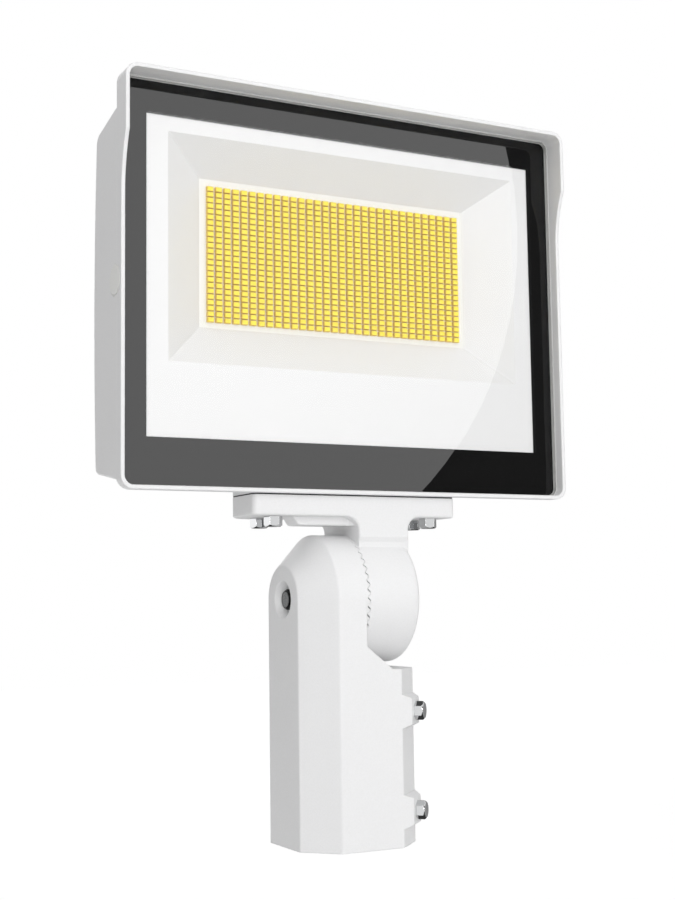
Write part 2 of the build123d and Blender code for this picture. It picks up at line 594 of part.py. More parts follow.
def make_body():
    """Box behind the rim: sloped roof and floor, crowned back and drafted sides."""
    inside = FLANGE_BACK_Y - FLANGE_T - OVERSHOOT
    roof_back = (BACK_Y - BACK_CROWN, ROOF_Z - ROOF_SLOPE)
    floor_z = HEAD_Z0 + FLOOR_RISE
    floor_back = (BACK_Y - BACK_CROWN, floor_z + FLOOR_SLOPE)
    crown = (BACK_Y, (roof_back[1] + floor_back[1]) / 2)
    lines = Polyline(floor_back, (FLANGE_BACK_Y, floor_z), (inside, floor_z), (inside, ROOF_Z),
                     (FLANGE_BACK_Y, ROOF_Z), roof_back)
    outline = make_face(lines + ThreePointArc(roof_back, crown, floor_back))
    plane = Plane(origin=(-HEAD_HALF, 0, 0), x_dir=(0, 1, 0), z_dir=(1, 0, 0))
    body = extrude(plane * outline, HEAD_W)
    back_half = HEAD_HALF - SIDE_DRAFT
    plan = [(-HEAD_HALF, inside), (HEAD_HALF, inside), (back_half, BACK_Y + 1), (-back_half, BACK_Y + 1)]
    body &= Pos(0, 0, HEAD_Z0) * extrude(make_face(Polyline(*plan, close=True)), HEAD_H)
    across = body.edges().filter_by(Axis.X).group_by(Axis.Y)[-1].sort_by(Axis.Z)
    body = fillet(across[-1], ROOF_R)
    across = body.edges().filter_by(Axis.X).filter_by_position(Axis.Z, floor_z + 0.1, floor_back[1] + 0.1)
    body = fillet(across, FLOOR_R)
    sides = [f for f in body.faces() if abs(f.normal_at().X) > 0.9]
    edges = [e for side in sides for e in side.edges() if e.center().Y > inside + 1]
    return fillet(edges, SIDE_R)


REFLECTOR_PILLARS = [(side * (BAY_HALF - PILLAR_INSET), z)
                     for side in (-1, 1) for z in (BOARD_Z0 + PILLAR_D / 4, BOARD_Z1)]
REFLECTOR_FEET = [(side * FLOOR_HALF, (HEAD_Z0 + FLOOR_RISE + BAY_FLOOR_Z) / 2) for side in (-1, 1)]
BOARD_SCREW_XZS = [(x, z) for x in (BOARD_X0 + BOARD_SCREW_INSET, BOARD_X1 - BOARD_SCREW_INSET)
                   for z in (BOARD_Z0 + BOARD_SCREW_INSET, (BOARD_Z0 + BOARD_Z1) / 2,
                             BOARD_Z1 - BOARD_SCREW_INSET)]
DRIVER_Z0 = BAY_FLOOR_Z + DRIVER_LIFT
DRIVER_MID_Z = DRIVER_Z0 + DRIVER_H / 2
DRIVER_SCREW_XZS = [(DRIVER_X + side * (DRIVER_L + DRIVER_EAR_L) / 2, DRIVER_MID_Z) for side in (-1, 1)]
CAP_Y = LEDGE_Y + CAP_BACK
CAP_Z = HEAD_MID_Z - CAP_BELOW_MID


def make_housing():
    """Cast head: rim and body in one, hollowed from the front and finned behind."""
    head = make_rim() + make_body()
    head += Pos(0, 0, HEAD_Z0) * extrude(boss_section(0), BAY_FLOOR_Z - HEAD_Z0)
    front_y = VISOR_FRONT_Y - OVERSHOOT
    head -= upright_plate(RIM_IN_HALF, RIM_IN_Z0, RIM_IN_Z1, RIM_IN_R, front_y, LEDGE_Y)
    head -= slab(-BAY_HALF, BAY_HALF, LEDGE_Y - 1, PLATFORM_Y, BAY_FLOOR_Z, BAY_ROOF_Z)
    head -= slab(-BAY_HALF, BAY_HALF, PLATFORM_Y - 1, DRIVER_BAY_Y, BAY_FLOOR_Z, PLATFORM_Z0)
    for x, z in REFLECTOR_PILLARS:
        head += rod(PILLAR_D / 2, (x, LEDGE_Y, z), (0, 1, 0), PLATFORM_Y - LEDGE_Y + 1)
    gaps = int((HEAD_W - 2 * FIN_MARGIN) // FIN_PITCH)
    for gap in range(gaps):
        middle = (gap - (gaps - 1) / 2) * FIN_PITCH
        half = (FIN_PITCH - FIN_T) / 2
        head -= slab(middle - half, middle + half, FIN_ROOT_Y, BACK_Y + OVERSHOOT,
                     PLATFORM_Z0 + FIN_FOOT, HEAD_Z1)
    for x, z in REFLECTOR_PILLARS + REFLECTOR_FEET:
        head -= countersunk_space(x, z)
    for x, z in BOARD_SCREW_XZS:
        head -= rod(BOARD_SCREW_D / 2 + HOLE_CLEARANCE, (x, PLATFORM_Y, z), (0, 1, 0), BOARD_SCREW_GRIP)
    for x, z in DRIVER_SCREW_XZS + [(GROUND_SCREW_X, DRIVER_MID_Z)]:
        head -= rod(DRIVER_SCREW_D / 2 + HOLE_CLEARANCE, (x, DRIVER_BAY_Y, z), (0, 1, 0), DRIVER_SCREW_GRIP)
    for x, y in PLATE_BOLT_XYS:
        head -= rod(PLATE_BOLT_D / 2 + HOLE_CLEARANCE, (x, y, HEAD_Z0), (0, 0, 1), PLATE_BOLT_GRIP + 1)
    head -= rod(GROMMET_D / 2, (WIRE_ARM_X, WIRE_Y, HEAD_Z0), (0, 0, 1), BAY_FLOOR_Z - HEAD_Z0)
    head -= rod(CAP_D / 2 + CAP_ROOM, (-HEAD_HALF - 1, CAP_Y, CAP_Z), (1, 0, 0), CAP_T + 1)
    return head


def countersunk_screw(grow):
    """Countersunk screw along +Z with its flat head at z = 0, grown all round for its hole."""
    head_r = REFLECTOR_SCREW_HEAD_D / 2 + grow
    shank_r = REFLECTOR_SCREW_D / 2 + grow
    head_h = head_r - shank_r
    cone = Pos(0, 0, -head_h) * Cone(shank_r, head_r, head_h, align=(Align.CENTER, Align.CENTER, Align.MIN))
    return cone + rod(shank_r, (0, 0, -head_h), (0, 0, -1), REFLECTOR_SCREW_L - head_h + grow)


def countersunk_space(x, z):
    """Space that a reflector screw needs in the sheet and the casting."""
    return facing_front(x, PANEL_FRONT_Y, z) * countersunk_screw(HOLE_CLEARANCE)


def make_glass_lens():
    """Flat front glass with rounded corners."""
    half = RIM_IN_HALF - GLASS_GAP
    return upright_plate(half, RIM_IN_Z0 + GLASS_GAP, RIM_IN_Z1 - GLASS_GAP, RIM_IN_R - GLASS_GAP,
                         GLASS_FRONT_Y, GLASS_BACK_Y)


def make_enamel_border():
    """Black print on the back of the glass, with the clear window left open."""
    inset = GLASS_GAP + ENAMEL_INSET
    ring = upright_plate(RIM_IN_HALF - inset, RIM_IN_Z0 + inset, RIM_IN_Z1 - inset, RIM_IN_R - inset,
                         GLASS_BACK_Y, ENAMEL_BACK_Y)
    return ring - slab(-WINDOW_HALF, WINDOW_HALF, GLASS_BACK_Y, ENAMEL_BACK_Y, WINDOW_Z0, WINDOW_Z1)


def make_glass_seal():
    """Silicone bead: a bed behind the glass and a lip round its edge."""
    bed = upright_plate(RIM_IN_HALF, RIM_IN_Z0, RIM_IN_Z1, RIM_IN_R, ENAMEL_BACK_Y, LEDGE_Y)
    inset = GLASS_GAP + SEAL_W
    bed -= slab(inset - RIM_IN_HALF, RIM_IN_HALF - inset, ENAMEL_BACK_Y, LEDGE_Y,
                RIM_IN_Z0 + inset, RIM_IN_Z1 - inset)
    lip_y = GLASS_FRONT_Y + SEAL_LIP_DROP
    lip = upright_plate(RIM_IN_HALF, RIM_IN_Z0, RIM_IN_Z1, RIM_IN_R, lip_y, ENAMEL_BACK_Y)
    lip -= upright_plate(RIM_IN_HALF - GLASS_GAP, RIM_IN_Z0 + GLASS_GAP, RIM_IN_Z1 - GLASS_GAP,
                         RIM_IN_R - GLASS_GAP, lip_y, ENAMEL_BACK_Y)
    return bed + lip


def funnel(grow, y_front, y_back):
    """Solid of the reflector's recess, grown sideways, between its mouth and its floor."""
    mouth_z = (RECESS_Z0 + RECESS_Z1) / 2
    mouth = Plane(origin=(RECESS_MID_X, y_front, mouth_z), x_dir=(1, 0, 0), z_dir=(0, 1, 0))
    floor_z = (FLOOR_Z0 + FLOOR_Z1) / 2
    floor = Plane(origin=(RECESS_MID_X, y_back, floor_z), x_dir=(1, 0, 0), z_dir=(0, 1, 0))
    wide = mouth * Rectangle(2 * (RECESS_HALF + grow), RECESS_Z1 - RECESS_Z0 + 2 * grow)
    narrow = floor * Rectangle(2 * (FLOOR_HALF + grow), FLOOR_Z1 - FLOOR_Z0 + 2 * grow)
    return loft([wide, narrow])


def make_reflector():
    """White formed sheet: a flat panel behind the window with a sloped recess round the emitters."""
    inset = GLASS_GAP + SEAL_W + REFLECTOR_GAP
    sheet = slab(inset - RIM_IN_HALF, RIM_IN_HALF - inset, PANEL_FRONT_Y, LEDGE_Y,
                 RIM_IN_Z0 + inset, RIM_IN_Z1 - inset)
    sheet += funnel(REFLECTOR_T, PANEL_FRONT_Y, RECESS_FLOOR_Y)
    sheet -= funnel(0, PANEL_FRONT_Y, RECESS_FLOOR_Y)
    for x, z in REFLECTOR_PILLARS + REFLECTOR_FEET:
        sheet -= countersunk_space(x, z)
    return sheet


def make_reflector_screws():
    """Countersunk screws, flush with the panel, all under the black border."""
    screw = countersunk_screw(0)
    return [facing_front(x, PANEL_FRONT_Y, z) * screw for x, z in REFLECTOR_PILLARS + REFLECTOR_FEET]


def make_led_board():
    """Metal-core board behind the recess, with its screw holes."""
    board = slab(BOARD_X0, BOARD_X1, BOARD_FRONT_Y, BOARD_BACK_Y, BOARD_Z0, BOARD_Z1)
    return board - board_holes(BOARD_FRONT_Y, BOARD_T)


def board_holes(y, depth):
    """Holes for the board's screws through a sheet."""
    radius = BOARD_SCREW_D / 2 + 2 * HOLE_CLEARANCE
    return [rod(radius, (x, y, z), (0, 1, 0), depth) for x, z in BOARD_SCREW_XZS]


def make_thermal_pad():
    """Heat pad between the board and the casting's platform."""
    pad = slab(BOARD_X0 + PAD_INSET, BOARD_X1 - PAD_INSET, BOARD_BACK_Y, PLATFORM_Y,
               BOARD_Z0 + PAD_INSET, BOARD_Z1 - PAD_INSET)
    return pad - board_holes(BOARD_BACK_Y, PAD_T)


def make_led_strips():
    """Emitter chips, each column as one raised bar."""
    pitch = 2 * (FLOOR_HALF - LED_MARGIN_X) / LED_COLUMNS
    half = (pitch - LED_GAP_X) / 2
    first = RECESS_MID_X - (LED_COLUMNS - 1) / 2 * pitch
    middles = [first + column * pitch for column in range(LED_COLUMNS)]
    return [slab(x - half, x + half, BOARD_FRONT_Y - LED_H, BOARD_FRONT_Y,
                 FLOOR_Z0 + LED_MARGIN_BOTTOM, FLOOR_Z1 - LED_MARGIN_TOP) for x in middles]


def make_board_screws():
    """Pan-head screws that press the board on the platform."""
    screw = pan_screw(BOARD_SCREW_HEAD_D, BOARD_SCREW_HEAD_H, BOARD_SCREW_D,
                      BOARD_T + PAD_T + BOARD_SCREW_GRIP - HOLE_CLEARANCE)
    return [facing_front(x, BOARD_FRONT_Y, z) * screw for x, z in BOARD_SCREW_XZS]


def make_board_connector():
    """Wire connector at the board's lower edge, under the recess's slope."""
    return slab(CONNECTOR_X - CONNECTOR_W / 2, CONNECTOR_X + CONNECTOR_W / 2, BOARD_FRONT_Y - CONNECTOR_T,
                BOARD_FRONT_Y, BOARD_Z0, BOARD_Z0 + CONNECTOR_H)


def make_led_leads():
    """Two wires straight up from the driver to the board's connector."""
    top = DRIVER_Z0 + DRIVER_H
    y = BOARD_FRONT_Y - CONNECTOR_T / 2
    return [rod(LEAD_D / 2, (CONNECTOR_X + side * LEAD_PITCH / 2, y, top), (0, 0, 1), BOARD_Z0 - top)
            for side in (-1, 1)]


def make_driver_case():
    """Potted driver: a block with rounded edges and a fixing ear at each end."""
    x0 = DRIVER_X - DRIVER_L / 2
    case = slab(x0, x0 + DRIVER_L, DRIVER_BAY_Y - DRIVER_T, DRIVER_BAY_Y, DRIVER_Z0, DRIVER_Z0 + DRIVER_H)
    case = fillet(case.edges().filter_by(Axis.Y), DRIVER_EDGE_R)
    ear_half = DRIVER_H / 4
    case += slab(x0 - DRIVER_EAR_L, x0 + DRIVER_L + DRIVER_EAR_L, DRIVER_BAY_Y - DRIVER_EAR_T, DRIVER_BAY_Y,
                 DRIVER_MID_Z - ear_half, DRIVER_MID_Z + ear_half)
    for x, z in DRIVER_SCREW_XZS:
        case -= rod(DRIVER_SCREW_D / 2 + 2 * HOLE_CLEARANCE, (x, DRIVER_BAY_Y - DRIVER_EAR_T, z), (0, 1, 0),
                    DRIVER_EAR_T)
    return case


def make_driver_lid():
    """Sheet lid on the front of the driver."""
    x0 = DRIVER_X - DRIVER_L / 2
    y1 = DRIVER_BAY_Y - DRIVER_T
    lid = slab(x0, x0 + DRIVER_L, y1 - DRIVER_LID_T, y1, DRIVER_Z0, DRIVER_Z0 + DRIVER_H)
    return fillet(lid.edges().filter_by(Axis.Y), DRIVER_EDGE_R)


def make_driver_screws():
    """Screws through the driver's ears."""
    screw = pan_screw(DRIVER_SCREW_HEAD_D, DRIVER_SCREW_HEAD_H, DRIVER_SCREW_D,
                      DRIVER_EAR_T + DRIVER_SCREW_GRIP - HOLE_CLEARANCE)
    return [facing_front(x, DRIVER_BAY_Y - DRIVER_EAR_T, z) * screw for x, z in DRIVER_SCREW_XZS]


def make_ground_screw():
    """Earth screw on the back wall of the driver's bay."""
    screw = pan_screw(DRIVER_SCREW_HEAD_D, DRIVER_SCREW_HEAD_H, DRIVER_SCREW_D,
                      DRIVER_SCREW_GRIP - HOLE_CLEARANCE)
    return facing_front(GROUND_SCREW_X, DRIVER_BAY_Y, DRIVER_MID_Z) * screw


def make_wire_grommet():
    """Rubber bush in the head's floor, with a flange inside the driver's bay."""
    base = (WIRE_ARM_X, WIRE_Y, HEAD_Z0)
    height = BAY_FLOOR_Z - HEAD_Z0
    bush = rod(GROMMET_D / 2 - HOLE_CLEARANCE, base, (0, 0, 1), height)
    bush += rod(GROMMET_FLANGE_D / 2, (WIRE_ARM_X, WIRE_Y, BAY_FLOOR_Z), (0, 0, 1), GROMMET_FLANGE_T)
    return bush - rod(GROMMET_D / 2 - GROMMET_WALL, base, (0, 0, 1), height + GROMMET_FLANGE_T)


def make_side_cap():
    """Round cap pushed against the upper back edge of its recess, which leaves a gap below."""
    shift = CAP_ROOM - CAP_TOUCH
    lean = math.radians(CAP_LEAN)
    face = (-HEAD_HALF, CAP_Y + shift * math.sin(lean), CAP_Z + shift * math.cos(lean))
    cap = rod(CAP_D / 2, face, (1, 0, 0), CAP_T)
    return fillet(cap.edges().group_by(Axis.X)[0], CAP_EDGE_R)


PIECES = {
    "slipfitter": make_slipfitter,
    "set_screws": make_set_screws,
    "pivot_bolt": make_pivot_bolt,
    "pivot_washer": make_pivot_washer,
    "pivot_spring_washer": make_pivot_spring_washer,
    "pivot_nut": make_pivot_nut,
    "knuckle_arm": make_knuckle_arm,
    "plate_bolts": make_plate_bolts,
    "mount_gasket": make_mount_gasket,
    "housing": make_housing,
    "wire_grommet": make_wire_grommet,
    "ground_screw": make_ground_screw,
    "side_cap": make_side_cap,
    "glass_lens": make_glass_lens,
    "enamel_border": make_enamel_border,
    "glass_seal": make_glass_seal,
    "reflector": make_reflector,
    "reflector_screws": make_reflector_screws,
    "led_board": make_led_board,
    "led_strips": make_led_strips,
    "thermal_pad": make_thermal_pad,
    "board_screws": make_board_screws,
    "board_connector": make_board_connector,
    "led_leads": make_led_leads,
    "driver_case": make_driver_case,
    "driver_lid": make_driver_lid,
    "driver_screws": make_driver_screws,
}

os.makedirs("parts", exist_ok=True)
for name, make in PIECES.items():
    made = make()
    solids = made if isinstance(made, list) else made.solids()
    export_step(Compound(children=[s.solid() for s in solids]), f"parts/{name}.step")
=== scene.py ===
import math

import bpy
import numpy as np
from mathutils import Matrix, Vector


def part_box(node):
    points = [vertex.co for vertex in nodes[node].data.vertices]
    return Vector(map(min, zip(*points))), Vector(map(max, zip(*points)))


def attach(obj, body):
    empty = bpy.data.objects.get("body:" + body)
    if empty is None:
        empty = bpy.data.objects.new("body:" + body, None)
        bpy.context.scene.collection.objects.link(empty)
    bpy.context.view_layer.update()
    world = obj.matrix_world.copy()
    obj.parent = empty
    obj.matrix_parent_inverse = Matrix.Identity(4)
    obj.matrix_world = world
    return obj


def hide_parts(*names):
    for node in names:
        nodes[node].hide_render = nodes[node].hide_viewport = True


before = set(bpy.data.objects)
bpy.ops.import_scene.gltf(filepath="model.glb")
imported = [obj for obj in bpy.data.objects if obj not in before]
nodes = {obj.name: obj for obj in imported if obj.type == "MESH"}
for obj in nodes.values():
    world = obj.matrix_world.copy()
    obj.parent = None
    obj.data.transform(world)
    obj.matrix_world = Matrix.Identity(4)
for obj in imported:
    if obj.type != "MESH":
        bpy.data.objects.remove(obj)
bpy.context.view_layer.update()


# Slipfitter: an aluminium casting that slides over the pole's tenon. It is blasted and powder
# coated white, so its faces keep a fine speckled skin and its edges are softly rounded.
MM = 0.001
COAT_WHITE = "ECECED"
COAT_SHADE = "E4E4E4"
COAT_CELL = 0.9 * MM
COAT_EDGE = 0.9 * MM
COAT_ROUGH = (0.36, 0.5)
PEEL_DEPTH = 0.02 * MM
PEEL_STRENGTH = 0.5
EDGE_SAMPLES = 6


def linear(colour):
    """Linear RGBA of an sRGB hex colour: each channel through the sRGB curve."""
    srgb = np.array([int(colour[i:i + 2], 16) for i in (0, 2, 4)]) / 255
    flat = np.where(srgb <= 0.04045, srgb / 12.92, ((srgb + 0.055) / 1.055) ** 2.4)
    return (*flat, 1.0)


def add(tree, kind, values=(), links=(), **settings):
    """Adds one node, sets its properties and socket values, and links its inputs."""
    made = tree.nodes.new(kind)
    for name, value in settings.items():
        setattr(made, name, value)
    for socket, value in dict(values).items():
        made.inputs[socket].default_value = value
    for socket, source in dict(links).items():
        tree.links.new(source, made.inputs[socket])
    return made


def material(name):
    """New node material, returned with its tree, its shader and its Object coordinates."""
    made = bpy.data.materials.new(name)
    made.use_nodes = True
    tree = made.node_tree
    place = add(tree, "ShaderNodeTexCoord").outputs["Object"]
    return made, tree, tree.nodes["Principled BSDF"], place


def grain_of(tree, place, cell, detail=2):
    """Noise from zero to one whose cells have one size in the units of its coordinates."""
    noise = add(tree, "ShaderNodeTexNoise", {"Scale": 1 / cell, "Detail": detail}, {"Vector": place})
    return noise.outputs["Fac"]


def two_tints(tree, shader, first, second, share):
    """Colours the shader between two tints by a share from zero to one."""
    tint = add(tree, "ShaderNodeMix", {"A": linear(first), "B": linear(second)}, {"Factor": share},
               data_type="RGBA")
    tree.links.new(tint.outputs["Result"], shader.inputs["Base Color"])


def uneven_blur(tree, shader, share, low, high):
    """Lets a share from zero to one vary the shader's roughness between two values."""
    blur = add(tree, "ShaderNodeMapRange", {"To Min": low, "To Max": high}, {"Value": share})
    tree.links.new(blur.outputs["Result"], shader.inputs["Roughness"])


def mottled(name, first, second, cell, finish, detail=2):
    """New material whose two near tints are mixed by a fine noise, with its other shader values."""
    made, tree, shader, place = material(name)
    two_tints(tree, shader, first, second, grain_of(tree, place, cell, detail))
    for socket, value in finish.items():
        shader.inputs[socket].default_value = value
    return made


def dress(name, finish):
    """Gives a solid of the frame its finish."""
    for own in nodes[name].material_slots:
        own.material = finish


powder_coat, tree, shader, place = material("white_powder_coat")
peel = grain_of(tree, place, COAT_CELL)
two_tints(tree, shader, COAT_WHITE, COAT_SHADE, peel)
uneven_blur(tree, shader, peel, *COAT_ROUGH)
edges = add(tree, "ShaderNodeBevel", {"Radius": COAT_EDGE}, samples=EDGE_SAMPLES)
skin = add(tree, "ShaderNodeBump", {"Strength": PEEL_STRENGTH, "Distance": PEEL_DEPTH},
           {"Height": peel, "Normal": edges.outputs["Normal"]})
tree.links.new(skin.outputs["Normal"], shader.inputs["Normal"])
dress("slipfitter", powder_coat)


# Set screws and the pivot's washers and nut: cold-headed steel with a bright zinc plating that
# mirrors like chrome. Its edges are rolled, and its tint is a little uneven.
STEEL = "D9DADB"
STEEL_DARK = "C8C9CA"
TURNING = 0.35 * MM
STEEL_EDGE = 0.35 * MM

zinc = mottled("zinc_plated_steel", STEEL, STEEL_DARK, TURNING, {"Metallic": 1.0, "Roughness": 0.0})
tree = zinc.node_tree
edges = add(tree, "ShaderNodeBevel", {"Radius": STEEL_EDGE}, samples=EDGE_SAMPLES)
tree.links.new(edges.outputs["Normal"], tree.nodes["Principled BSDF"].inputs["Normal"])
for name in ("set_screws", "pivot_washer", "pivot_spring_washer", "pivot_nut"):
    dress(name, zinc)


# Pivot bolt: a hex bolt in black oxide, which lies along the tilt axis; its near-black tint also stands in
# for the dark reflection in the head's chamfer, so it is partly painted reflection. The middle of its head is
# ground flat and is tinted a lighter steel grey.
OXIDE_AND_DARK_REFLECTION = "1E1E1F"
OXIDE_ROUGH = (0.2, 0.3)
END_R = 4.8 * MM

oxide, tree, shader, place = material("black_oxide_painted_reflection")
axis = -np.mean(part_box("pivot_bolt"), axis=0) * [0, 1, 1]
across = add(tree, "ShaderNodeVectorMath", {1: (0, 1, 1), 2: axis}, {0: place}, operation="MULTIPLY_ADD")
reach = add(tree, "ShaderNodeVectorMath", (), {0: across.outputs["Vector"]}, operation="LENGTH")
# Only the head's middle gets the lighter steel tint; the near-black around it is partly painted reflection.
light_face = add(tree, "ShaderNodeMath", {1: END_R}, {0: reach.outputs["Value"]}, operation="LESS_THAN")
two_tints(tree, shader, OXIDE_AND_DARK_REFLECTION, STEEL_DARK, light_face.outputs[0])
uneven_blur(tree, shader, grain_of(tree, place, TURNING), *OXIDE_ROUGH)
shader.inputs["Metallic"].default_value = 1.0
dress("pivot_bolt", oxide)


# Knuckle arm: the second casting, in the same coat, with the plate that carries the head.
# Four hex bolts hold the plate through a thin rubber sheet.
RUBBER = "191919"
RUBBER_GREY = "2A2A2A"
RUBBER_GRAIN = 0.8 * MM
RUBBER_ROUGH = 0.75

dress("knuckle_arm", powder_coat)
dress("plate_bolts", zinc)
rubber = mottled("black_epdm_rubber", RUBBER, RUBBER_GREY, RUBBER_GRAIN, {"Roughness": RUBBER_ROUGH})
dress("mount_gasket", rubber)


# Head casting: rim, visor, box and fins in one, coated like the other castings. A round moulded cap
# sits in a shallow recess of its left wall, and a rubber bush lines the wire hole in its floor.
CAP_WHITE = "EDEDEB"
CAP_GREY = "E5E5E2"
MOULD_GRAIN = 0.9 * MM
MOULD_ROUGH = 0.5

dress("housing", powder_coat)
moulding = mottled("white_moulded_nylon", CAP_WHITE, CAP_GREY, MOULD_GRAIN, {"Roughness": MOULD_ROUGH},
                   detail=3)
dress("side_cap", moulding)
dress("wire_grommet", rubber)
dress("ground_screw", zinc)


# Front glass: toughened glass with an anti-reflective coat, bedded in a silicone bead whose grey is
# lightened, so its strip in the shaded gap also reads as the light line along the glass edge: partly painted
# highlight.
# A black ceramic border is fired on its back face and carries the gloss there; the window inside it is left
# clear.
PALE_SILICONE_HIGHLIGHT = "D2D2D0"
SILICONE_DARK = "C2C2C0"
BEAD_GRAIN = 2.0 * MM
BEAD_ROUGH = 0.45
ENAMEL = "070707"
ENAMEL_GREY = "0C0C0C"
ENAMEL_GLOSS = 0.37
BORDER_SIDE = 15.4 * MM
BORDER_TOP = 19.9 * MM
BORDER_BOTTOM = 28.2 * MM
BORDER_R = 4.6 * MM
WINDOW_R = 0.3 * MM
PRINT_SINK = 0.06 * MM
COATED_IOR = 1.37


def rounded_rectangle(low, high, radius, steps=8):
    """Points round a rectangle whose corners are quarter circles of one radius."""
    turn = np.concatenate([np.linspace(0, math.pi / 2, steps) + side * math.pi / 2 for side in range(4)])
    corner = np.repeat([[1, 1], [0, 1], [0, 0], [1, 0]], steps, axis=0)
    centre = np.array(low) + radius + corner * (np.array(high) - np.array(low) - 2 * radius)
    return centre + radius * np.stack([np.cos(turn), np.sin(turn)], 1)


def frame_sheet(outer, inner, y0, y1):
    """Flat frame between two outlines with as many points each, as four rings of points.

    The rings are the outer and inner outlines at the front depth and then at the back depth.
    Neighbouring points of two rings make the front, back, outer and inner faces.
    """
    count = len(outer)
    rings = [np.insert(ring, 1, y, axis=1) for y in (y0, y1) for ring in (outer, inner)]
    here = np.arange(count)
    after = (here + 1) % count
    quads = [np.stack([a * count + here, a * count + after, b * count + after, b * count + here], 1)
             for a, b in ((0, 1), (3, 2), (2, 0), (1, 3))]
    return np.concatenate(rings), np.concatenate(quads)


def piece(name, vertices, quads, finishes, finish_of=None):
    """Mesh object at the origin from vertex and face arrays, with a finish for each face."""
    mesh = bpy.data.meshes.new(name)
    mesh.from_pydata(vertices, [], quads)
    for finish in finishes:
        mesh.materials.append(finish)
    if finish_of is not None:
        mesh.polygons.foreach_set("material_index", np.asarray(finish_of, dtype=np.int32))
    mesh.update()
    made = bpy.data.objects.new(name, mesh)
    bpy.context.scene.collection.objects.link(made)
    return made


# The bead's pale grey is partly painted highlight: it is lightened so its strip in the shaded gap reads as a
# light line.
silicone = mottled("pale_silicone_bead_painted_highlight", PALE_SILICONE_HIGHLIGHT, SILICONE_DARK, BEAD_GRAIN, {"Roughness": BEAD_ROUGH})
dress("glass_seal", silicone)

enamel = mottled("black_fired_enamel", ENAMEL, ENAMEL_GREY, BEAD_GRAIN,
                 {"Roughness": 0.0, "Specular IOR Level": ENAMEL_GLOSS})
print_low, print_high = (np.array(corner)[[0, 2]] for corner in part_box("enamel_border"))
depth = [corner[1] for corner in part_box("enamel_border")]
outer = rounded_rectangle(print_low, print_high, BORDER_R)
window_low = print_low + [BORDER_SIDE, BORDER_BOTTOM]
window_high = print_high - [BORDER_SIDE, BORDER_TOP]
inner = rounded_rectangle(window_low, window_high, WINDOW_R)
border = piece("fired_border", *frame_sheet(outer, inner, depth[0] - PRINT_SINK, depth[1]), [enamel])
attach(border, "head")
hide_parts("enamel_border")

coated_glass, tree, shader, place = material("coated_clear_glass")
path = add(tree, "ShaderNodeLightPath").outputs
inside = add(tree, "ShaderNodeNewGeometry").outputs["Backfacing"]
lit = add(tree, "ShaderNodeMath", (), {0: path["Is Shadow Ray"], 1: path["Is Diffuse Ray"]},
          operation="MAXIMUM")
clear = add(tree, "ShaderNodeMath", (), {0: lit.outputs[0], 1: inside}, operation="MAXIMUM")
middle = (window_low + window_high) / 2
half = (window_high - window_low) / 2
centred = add(tree, "ShaderNodeVectorMath", {1: (middle[0], 0, middle[1])}, {0: place}, operation="SUBTRACT")
shares = add(tree, "ShaderNodeVectorMath", {1: (half[0], 1, half[1])}, {0: centred.outputs["Vector"]},
             operation="DIVIDE")
sizes = add(tree, "ShaderNodeVectorMath", (), {0: shares.outputs["Vector"]}, operation="ABSOLUTE")
side = add(tree, "ShaderNodeSeparateXYZ", (), {0: sizes.outputs["Vector"]})
widest = add(tree, "ShaderNodeMath", (), {0: side.outputs["X"], 1: side.outputs["Z"]}, operation="MAXIMUM")
window = add(tree, "ShaderNodeMath", {1: 1.0}, {0: widest.outputs[0]}, operation="LESS_THAN")
mirror = add(tree, "ShaderNodeFresnel", {"IOR": COATED_IOR})
gloss = add(tree, "ShaderNodeMath", (), {0: mirror.outputs["Fac"], 1: window.outputs[0]},
            operation="MULTIPLY")
share = add(tree, "ShaderNodeMix", {"B": 0.0}, {"Factor": clear.outputs[0], "A": gloss.outputs[0]})
let_through = add(tree, "ShaderNodeBsdfTransparent")
sheen = add(tree, "ShaderNodeBsdfGlossy", {"Roughness": 0.0})
pane = add(tree, "ShaderNodeMixShader", (), {0: share.outputs["Result"], 1: let_through.outputs["BSDF"],
                                            2: sheen.outputs["BSDF"]})
tree.links.new(pane.outputs["Shader"], tree.nodes["Material Output"].inputs["Surface"])
tree.nodes.remove(shader)
dress("glass_lens", coated_glass)


# Reflector: a formed aluminium sheet in a satin white coat, screwed on under the border. The coat
# scatters the emitters' light, and its flat panel mirrors large lamps softly.
REFLECTOR_WHITE = "E6E6E6"
REFLECTOR_SHADE = "E1E1E1"
REFLECTOR_ROUGH = 0.3
REFLECTOR_GLOSS = 0.7

satin_white = mottled("satin_white_reflector_coat", REFLECTOR_WHITE, REFLECTOR_SHADE, COAT_CELL,
                      {"Roughness": REFLECTOR_ROUGH, "Specular IOR Level": REFLECTOR_GLOSS})
dress("reflector", satin_white)
dress("reflector_screws", zinc)


# Emitter board: an aluminium-core board with a white solder mask, screwed on a grey heat pad.
# Its connector is white nylon and its two leads have red insulation.
MASK_WHITE = "EEEEEA"
MASK_SHADE = "E9E8E3"
MASK_CLOUD = 25 * MM
MASK_ROUGH = 0.5
HEAT_PAD = "8A8E93"
LEAD_RED = "8E1F1B"
SOFT_ROUGH = (0.5, 0.7)

mask = mottled("white_solder_mask", MASK_WHITE, MASK_SHADE, MASK_CLOUD, {"Roughness": MASK_ROUGH})
dress("led_board", mask)
dress("board_screws", zinc)
dress("board_connector", moulding)

for name, label, colour in (("thermal_pad", "grey_heat_pad", HEAT_PAD),
                            ("led_leads", "red_pvc_insulation", LEAD_RED)):
    finish, tree, shader, place = material(label)
    shader.inputs["Base Color"].default_value = linear(colour)
    uneven_blur(tree, shader, grain_of(tree, place, RUBBER_GRAIN), *SOFT_ROUGH)
    dress(name, finish)


